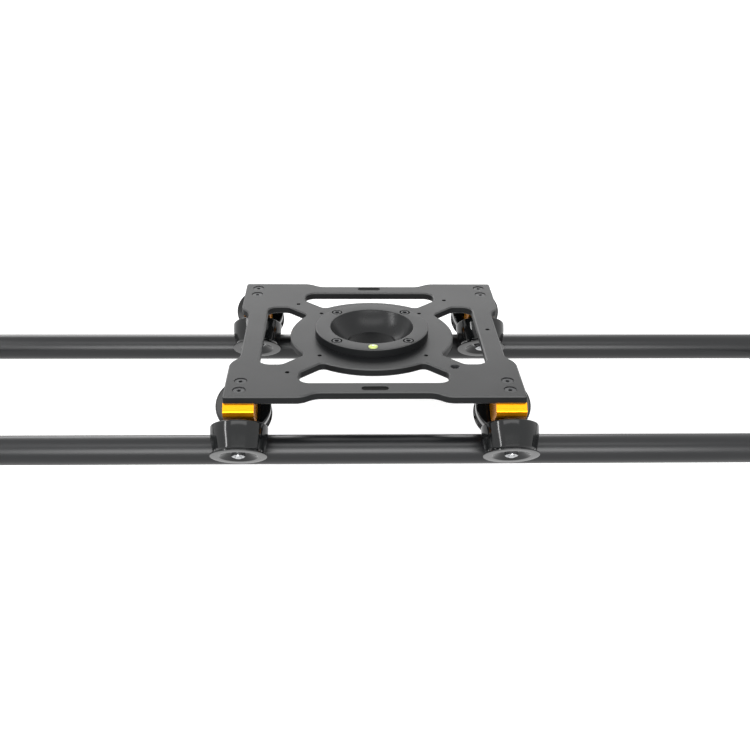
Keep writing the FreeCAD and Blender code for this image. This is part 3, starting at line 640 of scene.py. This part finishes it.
# %% Plate, blocks and their screws
eased("carriage_plate_milled", "carriage_plate", 0.25 * mm)
plate_low, plate_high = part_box("carriage_plate")
screw_low, screw_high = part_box("truck_screws")
truck_screw = countersunk_screw((screw_high.z - screw_low.z) / mm)
screw_offset = 10.75 * mm
truck_screws = []
for side in ("front", "back"):
    for end in ("left", "right"):
        eased(f"{side}_{end}_block", f"{side}_{end}_truck", 0.45 * mm)
        low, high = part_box(f"{side}_{end}_truck")
        middle = (low + high) / 2
        for y in (middle.y - screw_offset, middle.y + screw_offset):
            truck_screws.append(placed(truck_screw, axes_at((middle.x, y, screw_high.z))))
make_piece("countersunk_truck_screws", joined(truck_screws), "truck_screws")
print("truck screws", len(truck_screws))

# %% [markdown]
# The bush takes a 3/8 inch screw with 16 threads to the inch. A real thread is a helix, which a Screw
# modifier could draw. At this size closed rings at the same pitch look no different and close up cleanly,
# so the bore is a profile that steps in and out once in each pitch.

# %% Threaded bush
low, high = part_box("accessory_bush")
middle = (low + high) / 2
bush_radius, bush_height = 6, (high.z - low.z) / mm
lead_in, crest, root = 5.2, 4.2, 4.9
pitch = 25.4 / 16
starts = np.arange(1, bush_height - pitch - 0.5, pitch)
thread = [row for start in starts for row in ((crest, start + 0.25 * pitch), (crest, start + 0.35 * pitch),
                                              (root, start + 0.8 * pitch), (root, start + 0.9 * pitch))]
bush = turned([(bush_radius, 0, 0.2), (bush_radius, bush_height, 0.3), (lead_in, bush_height, 0.1)]
              + thread[::-1] + [(lead_in, 0, 0.1)], 64)
make_piece("threaded_bush", placed(bush, axes_at((middle.x, middle.y, low.z))), "accessory_bush")
print("thread turns", len(starts))

# %% [markdown]
# ## Name plates
# Each pocket in the plate's rim holds a pill of black acrylic, left blank. A pill is a turned disc pulled
# apart: every point on the left goes left by half the straight part's length, and every point on the right
# goes right.


# %% Blank name plates
def pill(length, width, height, edge=0.7, slope=0.2, sink=0.15):
    """A turned button whose halves are moved (length - width) / 2 apart, with its face sunk in a low edge."""
    rows = [(0, 0), (width / 2, 0), (width / 2, height, 0.25), (width / 2 - edge, height, 0.15),
            (width / 2 - edge - slope, height - sink, 0.1), (0, height - sink)]
    points, faces = turned(rows, 64)
    off_axis = np.hypot(points[:, 0], points[:, 1]) > 0.1 * mm
    points[:, 0] += np.sign(points[:, 0]) * off_axis * (length - width) / 2 * mm
    return points, faces


for side in ("front", "back"):
    low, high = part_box(side + "_badge")
    middle = (low + high) / 2
    size = (high - low) / mm
    seat = axes_at((middle.x, middle.y, low.z))
    make_piece(side + "_blank_name_plate", placed(pill(size.x, size.y, size.z), seat), side + "_badge")
print("name plate in mm", tuple(round(v, 2) for v in size))

# %% [markdown]
# ## The bowl
# The bowl is turned from one billet: a flange, a spigot in the plate, and a cup whose seat is part of a
# sphere. It could be an eased CAD copy too, but the seat is the most visible curve on the slider, so it is
# turned afresh with 192 steps.


# %% Bowl
def cut(obj, cutter_shell):
    """Take a shell away from an object's mesh, once and for all."""
    cutter = mesh_object("cutter", cutter_shell)
    boolean = obj.modifiers.new("pockets", "BOOLEAN")
    boolean.operation = "DIFFERENCE"
    boolean.solver = "EXACT"
    boolean.object = cutter
    result = bpy.data.meshes.new_from_object(obj.evaluated_get(bpy.context.evaluated_depsgraph_get()))
    obj.modifiers.clear()
    obj.data = clean(result)
    bpy.data.objects.remove(cutter)


bowl_low, bowl_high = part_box("bowl")
flange_top = bowl_high.z
flange_radius = (bowl_high.x - bowl_low.x) / 2 / mm
flange_edge, flange_bottom = 0.8, -10
spigot_radius, spigot_end = 48, flange_bottom - (plate_high.z - plate_low.z) / mm
mouth, sphere_rise, bore = mouth_radius / mm, 25, 30.5
cup_radius, cup_end = bore + 4.5, -40
sphere = math.hypot(mouth, sphere_rise)
angles = np.linspace(math.asin(mouth / sphere), math.asin(bore / sphere), 26)
seat = [(sphere * math.sin(a), sphere_rise - sphere * math.cos(a), 0.0) for a in angles]
seat[0] = (mouth, 0, 0.5)
bowl_rows = [(bore, cup_end, 0.5), (cup_radius, cup_end, 0.8), (cup_radius, spigot_end - 13, 1),
             (spigot_radius, spigot_end, 0.5), (spigot_radius, flange_bottom),
             (flange_radius, flange_bottom, 0.4), (flange_radius, -flange_edge, 0.3),
             (flange_radius - flange_edge, 0, 0.3)] + seat
bowl = mesh_object("turned_bowl", placed(turned(bowl_rows, 192), axes_at((0, 0, flange_top))))
print("sphere radius", round(sphere, 2), "rows", len(bowl_rows))

# %% [markdown]
# The four screws sit in counterbored pockets, and the level in one of its own, all on one circle. A Boolean
# modifier cuts them, with turned cutters whose mouths flare to leave a small chamfer. The cutters reach 2
# mm above the flange, so that a cutter's end never lies in the face that it cuts.

# %% Pockets and screws
screw_circle = (flange_radius - 8.6) * mm
above = 2
pocket_radius, pocket_mouth, pocket_floor = 6.3, 6.7, -head_height
screw_hole = 3.3
level_pocket_radius, level_pocket_mouth, level_pocket_floor = 5.55, 5.9, -7
pocket = turned([(0, pocket_floor), (pocket_radius, pocket_floor, 0.2), (pocket_radius, -0.35),
                 (pocket_mouth, 0.05), (pocket_mouth, above), (0, above)], 48)
through = turned([(0, flange_bottom - 2), (screw_hole, flange_bottom - 2), (screw_hole, pocket_floor + 1),
                  (0, pocket_floor + 1)], 48)
level_pocket = turned([(0, level_pocket_floor), (level_pocket_radius, level_pocket_floor, 0.2),
                       (level_pocket_radius, -0.3), (level_pocket_mouth, 0.05), (level_pocket_mouth, above),
                       (0, above)], 64)
bowl_screw = cap_screw(pocket_floor - spigot_end)
cutters = []
bowl_screws = []
for turn in (45, 135, 225, 315):
    x = screw_circle * math.cos(math.radians(turn))
    y = screw_circle * math.sin(math.radians(turn))
    cutters += [placed(pocket, axes_at((x, y, flange_top))), placed(through, axes_at((x, y, flange_top)))]
    bowl_screws.append(placed(bowl_screw, axes_at((x, y, flange_top + pocket_floor * mm))))
level_place = axes_at((0, -screw_circle, flange_top))
cutters.append(placed(level_pocket, level_place))
for cutter in cutters:
    cut(bowl, cutter)
dress(bowl, "bowl")
make_piece("bowl_cap_screws", joined(bowl_screws), "bowl_screws")
print("bowl faces", len(bowl.data.polygons))

# %% [markdown]
# The level is a turned cup with a glass in it. The glass is a plain cylinder under a low dome, whose
# section is a quarter of an ellipse: r = a cos t and z = b sin t.

# %% Bubble level
level_radius, level_wall, level_top = 5.5, 0.9, 0.8
level_bore, level_floor = level_radius - level_wall, level_pocket_floor + level_wall
glass_radius, glass_rise = 4.55, 1.2
housing = turned([(0, level_pocket_floor), (level_radius, level_pocket_floor, 0.2),
                  (level_radius, level_top, 0.3), (level_bore, level_top, 0.2), (level_bore, level_floor),
                  (0, level_floor)], 64)
make_piece("level_cup", placed(housing, level_place), "level_housing")
dome = [(glass_radius * math.cos(a), level_top + glass_rise * math.sin(a), 0.0)
        for a in np.linspace(0, math.pi / 2, 9)]
glass = turned([(0, level_floor), (glass_radius, level_floor, 0.2)] + dome, 64)
make_piece("level_glass", placed(glass, level_place), "level_vial")
print("level at", tuple(round(float(v), 4) for v in level_place[:3, 3]))

# %% [markdown]
# ## The wheels
# Eight wheels share one profile, which narrows gently across the rail and more towards its waist, and has a
# flared lip and a dished outer face. Heights run along the axle from the point where the tread's line meets
# it, outwards. Each joint of the frame gives that point and the axle's direction, so a wheel is built once
# and placed eight times.

# %% Tyre profile
tyre_radius, lip_radius, bearing_radius = 31, 30.7, 11.02
inner_face, outer_face, dish_floor = -13.1, 20.3, 14.3
rim_width, hub_radius = 9.8, 12.5
waist_radius, waist_place, lip_place = 27.7, 15.0, 18.9
bearing_starts, bearing_width, core_radius = (-12.4, 7.3), 7, 9
flare_length, flare_height = lip_place - waist_place, lip_radius - waist_radius
flare_radius = (flare_length ** 2 + flare_height ** 2) / (2 * flare_height)
angles = np.linspace(0, math.asin(flare_length / flare_radius), 12)[1:]
flare = [(waist_radius + flare_radius * (1 - math.cos(a)), waist_place + flare_radius * math.sin(a), 0.0)
         for a in angles]
core_start, core_end = bearing_starts[0] + bearing_width, bearing_starts[1]
tyre_rows = [(bearing_radius, inner_face, 0.3), (tyre_radius + 0.5, inner_face, 2.2), (tyre_radius, 0, 9),
             (waist_radius, waist_place, 0.8)] + flare
tyre_rows += [(lip_radius, outer_face, 0.8), (lip_radius - rim_width, outer_face, 0.6),
              (hub_radius, dish_floor, 0.9), (bearing_radius, dish_floor, 0.2), (bearing_radius, core_end),
              (core_radius, core_end), (core_radius, core_start), (bearing_radius, core_start)]
tyre = turned(tyre_rows, 128)
print("tyre points", len(tyre[0]))

# %% [markdown]
# Inside a wheel are two 608 bearings, drawn as an outer ring with a rubber seal on either side. A stud runs
# through them, and its chamfered nut sits in the dish.

# %% Bearings, studs and nuts
ring_outside, ring_inside, seal_bore, seal_start = 11, 9.5, 5.8, 6.5
ring = turned([(ring_outside, 0, 0.5), (ring_outside, bearing_width, 0.5), (ring_inside, bearing_width, 0.2),
               (ring_inside, seal_start, 0.1), (ring_inside, bearing_width - seal_start, 0.1),
               (ring_inside, 0, 0.2)], 64)
seal_rows = [(seal_bore, seal_start), (ring_inside, seal_start), (ring_inside, 6.85, 0.1), (8.8, 6.95, 0.15),
             (8.3, 6.75, 0.15), (7.2, 6.75, 0.2), (6.6, 6.95, 0.15), (seal_bore, 6.9, 0.1)]
seal = turned(seal_rows, 64)
back_seal = turned([(r, bearing_width - z, *rest) for r, z, *rest in seal_rows], 64)
lifts = [axes_at((0, 0, start * mm)) for start in bearing_starts]
rings = joined([placed(ring, lift) for lift in lifts])
seals = joined([placed(part, lift) for lift in lifts for part in (seal, back_seal)])
nut_low, nut_height, nut_bore, nut_face = 15.3, 5.3, 4.05, 6.2
nut_top, nut_corner, chamfer = nut_low + nut_height, 13 / math.sqrt(3), 0.6
nut = turned([(nut_bore, nut_low + 0.4, 0.1), (nut_bore + 0.4, nut_low, 0.1), (nut_face, nut_low, 0),
              (nut_corner, nut_low + chamfer, 0, 1), (nut_corner, nut_top - chamfer, 0, 1),
              (nut_face, nut_top, 0), (nut_bore + 0.5, nut_top, 0.1), (nut_bore, nut_top - 0.5, 0.1)], 72)
stud_radius, stud_start, stud_end = 4, -28.6, nut_top + 1.3
stud = turned([(0, stud_start), (stud_radius, stud_start, 0.4), (stud_radius, stud_end - 0.8, 0.1),
               (3.2, stud_end, 0.1), (1.2, stud_end, 0.3), (0, stud_end - 0.6)], 48)
print("nut across corners", round(2 * nut_corner, 2), "stud length", round(stud_end - stud_start, 1))

# %% [markdown]
# Each joint that rolls a wheel gives its place and its axle, so every part built above is placed eight
# times. The seals are an extra in rubber beside the rings, because one piece has one finish.

# %% Eight wheels
wheels = {joint["name"].removesuffix("_roll"): axes_at(joint["pos_m"], joint["axis"])
          for joint in frame["joints"] if joint["name"].endswith("_roll")}
for name, axle in wheels.items():
    make_piece(name + "_cast_tyre", placed(tyre, axle), name + "_tyre")
    make_piece(name + "_bearing_rings", placed(rings, axle), name + "_bearings")
    make_piece(name + "_bearing_seals", placed(seals, axle), name + "_bearings", "foot_rubber", extra=True)
make_piece("hexagon_nuts", joined([placed(nut, axle) for axle in wheels.values()]), "axle_nuts")
make_piece("turned_studs", joined([placed(stud, axle) for axle in wheels.values()]), "axle_studs")
print("wheels", sorted(wheels))

# %% [markdown]
# ## Floor, sky and lamps
# The room is a plain white one. The floor and the sky look white to the camera, in reflections and through
# clear parts, by way of the Light Path node, while the light that reaches the slider stays at a plain
# level. To the camera the floor is paint with a glow added, so that the slider's soft shadow stays on it.


# %% Floor
def ray_kinds(tree):
    """Whether a ray comes straight from the camera, and whether it was reflected or went through a piece."""
    rays = add(tree, "ShaderNodeLightPath").node.outputs
    mirrored = add(tree, "ShaderNodeMath", {"operation": "MAXIMUM"},
                   {0: rays["Is Glossy Ray"], 1: rays["Is Transmission Ray"]})
    return rays["Is Camera Ray"], mirrored


white_light = (1, 1, 1, 1)
half = 9
floor_mesh = bpy.data.meshes.new("floor")
floor_mesh.from_pydata([(-half, -half, 0), (half, -half, 0), (half, half, 0), (-half, half, 0)], [],
                       [(0, 1, 2, 3)])
floor = bpy.data.objects.new("floor", floor_mesh)
floor.location.z = cad_box[0][2]
bpy.context.scene.collection.objects.link(floor)
white_floor = bpy.data.materials.new("white_floor")
white_floor.use_nodes = True
tree = white_floor.node_tree
tree.nodes.clear()
direct, mirrored = ray_kinds(tree)
paint = add(tree, "ShaderNodeBsdfDiffuse", {"Color": linear("#F6F6F6")})
glow = add(tree, "ShaderNodeEmission", {"Color": white_light, "Strength": 0.66})
white = add(tree, "ShaderNodeEmission", {"Color": white_light, "Strength": 1.0})
lifted = add(tree, "ShaderNodeAddShader", links={0: paint, 1: glow})
seen = add(tree, "ShaderNodeMixShader", links={0: direct, 1: paint, 2: lifted})
shown = add(tree, "ShaderNodeMixShader", links={0: mirrored, 1: seen, 2: white})
add(tree, "ShaderNodeOutputMaterial", links={"Surface": shown})
floor_mesh.materials.append(white_floor)
print("floor at", round(floor.location.z, 4))

# %% [markdown]
# The sky is a flat light from all round. It is white where it is seen or mirrored, and less than half as
# strong where it only lights the slider, so that the softboxes shape it.

# %% Sky
world = bpy.data.worlds.new("white_room")
bpy.context.scene.world = world
world.use_nodes = True
tree = world.node_tree
tree.nodes.clear()
direct, mirrored = ray_kinds(tree)
seen = add(tree, "ShaderNodeMath", {"operation": "MAXIMUM"}, {0: mirrored, 1: direct})
ambient = add(tree, "ShaderNodeBackground", {"Color": white_light, "Strength": 0.45})
white = add(tree, "ShaderNodeBackground", {"Color": white_light, "Strength": 1.0})
shown = add(tree, "ShaderNodeMixShader", links={0: seen, 1: ambient, 2: white})
add(tree, "ShaderNodeOutputWorld", links={"Surface": shown})
print("world", world.name)

# %% [markdown]
# Four softboxes draw the highlights. One stands behind and lights the plate's top at a slant, a narrow one
# hangs over the front, one stands in front and fills the faces that look forwards, and a thin strip on the
# left is aimed at the front wheels.


# %% Lamps
def lamp(name, place, width, height, power, roll=0, target=(0, 0, 0.1)):
    """A rectangular softbox that faces its target, turned about its own axis by 'roll' degrees."""
    data = bpy.data.lights.new(name, "AREA")
    data.shape = "RECTANGLE"
    data.size = width
    data.size_y = height
    data.energy = power
    softbox = bpy.data.objects.new(name, data)
    softbox.location = place
    aim = (Vector(target) - Vector(place)).to_track_quat("-Z", "Y").to_matrix()
    softbox.rotation_euler = (aim @ Matrix.Rotation(math.radians(roll), 3, "Z")).to_euler()
    bpy.context.scene.collection.objects.link(softbox)
    print(name, power, "W")


lamp("back_softbox", (-0.4, 2.6, 1.4), width=3.0, height=1.4, power=38)
lamp("overhead_softbox", (0.0, -1.1, 2.2), width=2.6, height=0.6, power=9)
lamp("front_softbox", (0.0, -2.7, 0.95), width=3.0, height=1.3, power=64)
lamp("left_strip", (-1.7, -0.8, 1.28), width=1.7, height=0.18, power=12, roll=-40, target=(0, -0.17, 0.1))
bpy.context.scene.view_settings.view_transform = "Standard"

# %% [markdown]
# Last, the number of pieces made is printed. The CAD frame's box, measured before anything was added, only
# sets the floor's height. The finer pieces have to stay inside the CAD box.

# %% Count of pieces
print("pieces made", len(made))
